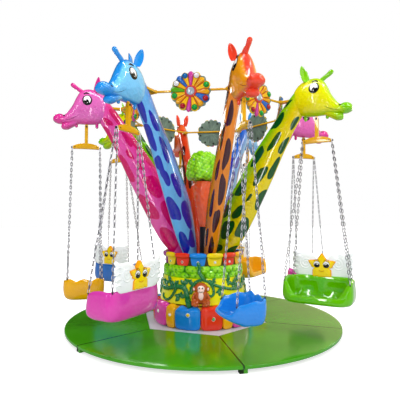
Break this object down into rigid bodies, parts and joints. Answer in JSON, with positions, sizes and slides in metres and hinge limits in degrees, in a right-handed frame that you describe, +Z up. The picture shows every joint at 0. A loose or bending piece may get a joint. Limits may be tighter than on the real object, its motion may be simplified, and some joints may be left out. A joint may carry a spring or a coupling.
{
  "type": "chair swing ride",
  "caption": "Children's chair swing ride: giraffe necks on a turning hub carry hanging seats on chains above a round deck.",
  "frame": {"origin": "on the floor under the turning axis", "axes": "+Z up; the first neck points along -X and the seats face clockwise seen from above"},
  "size_m": [4.41, 4.41, 3.6396],
  "materials": {
    "deck_green": "gloss",
    "pale_plate": "satin",
    "drum_magenta": "gloss",
    "drum_yellow": "gloss",
    "leaf_green": "gloss",
    "collar_red": "gloss",
    "trunk_red": "gloss",
    "dark_steel": "satin",
    "gold_paint": "gloss",
    "giraffe_pink": "gloss",
    "giraffe_blue": "gloss",
    "giraffe_orange": "gloss",
    "giraffe_green": "gloss",
    "seat_amber": "gloss",
    "seat_pink": "gloss",
    "seat_blue": "gloss",
    "seat_green": "gloss"
  },
  "bodies": {
    "base": {"deck_segment_1": "deck_green", "deck_segment_2": "deck_green", "deck_segment_3": "deck_green", "deck_segment_4": "deck_green", "deck_segment_5": "deck_green", "deck_segment_6": "deck_green", "base_plate": "pale_plate", "drum_blocks": "drum_magenta", "drum_wall": "drum_yellow", "leaf_ring": "leaf_green", "collar": "collar_red", "slewing_bearing": "dark_steel"},
    "rotor": {"turntable": "dark_steel", "centre_pole": "dark_steel", "tree_trunk": "trunk_red", "tree_crown": "leaf_green", "giraffe_1": "giraffe_pink", "giraffe_2": "giraffe_blue", "giraffe_3": "giraffe_orange", "giraffe_4": "giraffe_green", "giraffe_5": "giraffe_pink", "giraffe_6": "giraffe_blue", "giraffe_7": "giraffe_orange", "giraffe_8": "giraffe_green", "light_rod_1": "gold_paint", "light_rod_2": "gold_paint", "light_rod_3": "gold_paint", "light_rod_4": "gold_paint", "light_rod_5": "gold_paint", "light_rod_6": "gold_paint", "light_rod_7": "gold_paint", "light_rod_8": "gold_paint"},
    "hanger_1_body": {"hanger_1": "gold_paint"},
    "seat_1_body": {"seat_1": "seat_amber"},
    "hanger_2_body": {"hanger_2": "gold_paint"},
    "seat_2_body": {"seat_2": "seat_pink"},
    "hanger_3_body": {"hanger_3": "gold_paint"},
    "seat_3_body": {"seat_3": "seat_blue"},
    "hanger_4_body": {"hanger_4": "gold_paint"},
    "seat_4_body": {"seat_4": "seat_green"},
    "hanger_5_body": {"hanger_5": "gold_paint"},
    "seat_5_body": {"seat_5": "seat_pink"},
    "hanger_6_body": {"hanger_6": "gold_paint"},
    "seat_6_body": {"seat_6": "seat_amber"},
    "hanger_7_body": {"hanger_7": "gold_paint"},
    "seat_7_body": {"seat_7": "seat_green"},
    "hanger_8_body": {"hanger_8": "gold_paint"},
    "seat_8_body": {"seat_8": "seat_blue"}
  },
  "joints": [
    {"name": "rotor_turn", "type": "hinge", "parent": "base", "child": "rotor", "pos_m": [0, 0, 0.935], "axis": [0, 0, 1], "continuous": true},
    {"name": "hanger_1_swing", "type": "hinge", "parent": "rotor", "child": "hanger_1_body", "pos_m": [-1.75, 0, 2.905], "axis": [0, 1, 0], "range_deg": [-4, 25]},
    {"name": "hanger_2_swing", "type": "hinge", "parent": "rotor", "child": "hanger_2_body", "pos_m": [-1.23744, -1.23744, 2.905], "axis": [-0.7071, 0.7071, 0], "range_deg": [-4, 25]},
    {"name": "hanger_3_swing", "type": "hinge", "parent": "rotor", "child": "hanger_3_body", "pos_m": [0, -1.75, 2.905], "axis": [-1, 0, 0], "range_deg": [-4, 25]},
    {"name": "hanger_4_swing", "type": "hinge", "parent": "rotor", "child": "hanger_4_body", "pos_m": [1.23744, -1.23744, 2.905], "axis": [-0.7071, -0.7071, 0], "range_deg": [-4, 25]},
    {"name": "hanger_5_swing", "type": "hinge", "parent": "rotor", "child": "hanger_5_body", "pos_m": [1.75, 0, 2.905], "axis": [0, -1, 0], "range_deg": [-4, 25]},
    {"name": "hanger_6_swing", "type": "hinge", "parent": "rotor", "child": "hanger_6_body", "pos_m": [1.23744, 1.23744, 2.905], "axis": [0.7071, -0.7071, 0], "range_deg": [-4, 25]},
    {"name": "hanger_7_swing", "type": "hinge", "parent": "rotor", "child": "hanger_7_body", "pos_m": [0, 1.75, 2.905], "axis": [1, 0, 0], "range_deg": [-4, 25]},
    {"name": "hanger_8_swing", "type": "hinge", "parent": "rotor", "child": "hanger_8_body", "pos_m": [-1.23744, 1.23744, 2.905], "axis": [0.7071, 0.7071, 0], "range_deg": [-4, 25]},
    {"name": "seat_1_swing", "type": "hinge", "parent": "hanger_1_body", "child": "seat_1_body", "pos_m": [-1.75, 0, 2.6025], "axis": [-1, 0, 0], "range_deg": [-8, 8]},
    {"name": "seat_2_swing", "type": "hinge", "parent": "hanger_2_body", "child": "seat_2_body", "pos_m": [-1.23744, -1.23744, 2.6025], "axis": [-0.7071, -0.7071, 0], "range_deg": [-8, 8]},
    {"name": "seat_3_swing", "type": "hinge", "parent": "hanger_3_body", "child": "seat_3_body", "pos_m": [0, -1.75, 2.6025], "axis": [0, -1, 0], "range_deg": [-8, 8]},
    {"name": "seat_4_swing", "type": "hinge", "parent": "hanger_4_body", "child": "seat_4_body", "pos_m": [1.23744, -1.23744, 2.6025], "axis": [0.7071, -0.7071, 0], "range_deg": [-8, 8]},
    {"name": "seat_5_swing", "type": "hinge", "parent": "hanger_5_body", "child": "seat_5_body", "pos_m": [1.75, 0, 2.6025], "axis": [1, 0, 0], "range_deg": [-8, 8]},
    {"name": "seat_6_swing", "type": "hinge", "parent": "hanger_6_body", "child": "seat_6_body", "pos_m": [1.23744, 1.23744, 2.6025], "axis": [0.7071, 0.7071, 0], "range_deg": [-8, 8]},
    {"name": "seat_7_swing", "type": "hinge", "parent": "hanger_7_body", "child": "seat_7_body", "pos_m": [0, 1.75, 2.6025], "axis": [0, 1, 0], "range_deg": [-8, 8]},
    {"name": "seat_8_swing", "type": "hinge", "parent": "hanger_8_body", "child": "seat_8_body", "pos_m": [-1.23744, 1.23744, 2.6025], "axis": [-0.7071, 0.7071, 0], "range_deg": [-8, 8]}
  ]
}
